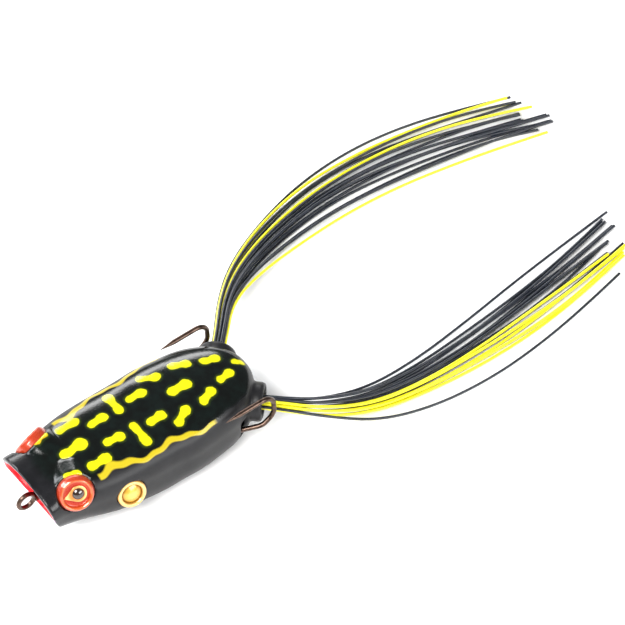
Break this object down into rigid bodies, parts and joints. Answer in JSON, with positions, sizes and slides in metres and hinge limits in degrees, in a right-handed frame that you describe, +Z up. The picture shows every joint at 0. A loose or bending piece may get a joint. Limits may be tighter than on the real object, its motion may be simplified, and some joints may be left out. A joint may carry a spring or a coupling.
{
  "type": "popping frog lure",
  "caption": "Hollow soft-bodied topwater frog lure with a cupped popper mouth, a double hook and two legs of silicone strands.",
  "frame": {"origin": "under the middle of the frog without its leg strands, on the flat of the belly", "axes": "+X towards the nose and the line tie, +Y to the frog's left, +Z up through the back"},
  "size_m": [0.18, 0.0744, 0.0209],
  "materials": {
    "body_skin": "soft vinyl, glossy black back with yellow spots, satin charcoal belly, red mouth cup",
    "hook_wire": "polished bronze black plating",
    "keel_metal": "dull cast metal",
    "eye_red": "clear glossy red-orange",
    "eye_gold": "gold foil under clear",
    "eye_dark": "clear dark brown",
    "ear_gold": "satin gold",
    "ear_amber": "domed amber over gold",
    "band_rubber": "matt black",
    "strand_black": "soft silicone, slight sheen",
    "strand_yellow": "soft silicone, slightly clear"
  },
  "bodies": {
    "body": {"body_shell": "body_skin", "eye_base_left": "eye_red", "eye_iris_left": "eye_gold", "eye_pupil_left": "eye_dark", "ear_ring_left": "ear_gold", "ear_dome_left": "ear_amber", "eye_base_right": "eye_red", "eye_iris_right": "eye_gold", "eye_pupil_right": "eye_dark", "ear_ring_right": "ear_gold", "ear_dome_right": "ear_amber"},
    "hook": {"line_tie_ring": "hook_wire", "double_hook": "hook_wire", "hook_weight": "keel_metal"},
    "leg_left": {"leg_band_left": "band_rubber", "strand_left_01": "strand_black", "strand_left_02": "strand_black", "strand_left_03": "strand_yellow", "strand_left_04": "strand_black", "strand_left_05": "strand_black", "strand_left_06": "strand_black", "strand_left_07": "strand_yellow", "strand_left_08": "strand_black", "strand_left_09": "strand_black", "strand_left_10": "strand_black", "strand_left_11": "strand_yellow", "strand_left_12": "strand_black", "strand_left_13": "strand_black", "strand_left_14": "strand_black", "strand_left_15": "strand_yellow", "strand_left_16": "strand_yellow", "strand_left_17": "strand_black", "strand_left_18": "strand_black", "strand_left_19": "strand_yellow"},
    "leg_right": {"leg_band_right": "band_rubber", "strand_right_01": "strand_black", "strand_right_02": "strand_black", "strand_right_03": "strand_black", "strand_right_04": "strand_yellow", "strand_right_05": "strand_black", "strand_right_06": "strand_black", "strand_right_07": "strand_black", "strand_right_08": "strand_black", "strand_right_09": "strand_black", "strand_right_10": "strand_black", "strand_right_11": "strand_black", "strand_right_12": "strand_yellow", "strand_right_13": "strand_yellow", "strand_right_14": "strand_yellow", "strand_right_15": "strand_black", "strand_right_16": "strand_black", "strand_right_17": "strand_black", "strand_right_18": "strand_black", "strand_right_19": "strand_black"}
  },
  "joints": [
    {"name": "hook_pitch", "type": "hinge", "parent": "body", "child": "hook", "pos_m": [0.02313, 0, 0.0099], "axis": [0, 1, 0], "range_deg": [0, 3]},
    {"name": "leg_left_lift", "type": "hinge", "parent": "body", "child": "leg_left", "pos_m": [-0.02804, 0.00667, 0.01], "axis": [0.7071, 0.7071, 0], "range_deg": [0, 20]},
    {"name": "leg_right_lift", "type": "hinge", "parent": "body", "child": "leg_right", "pos_m": [-0.02804, -0.00667, 0.01], "axis": [-0.7071, 0.7071, 0], "range_deg": [0, 20]}
  ]
}
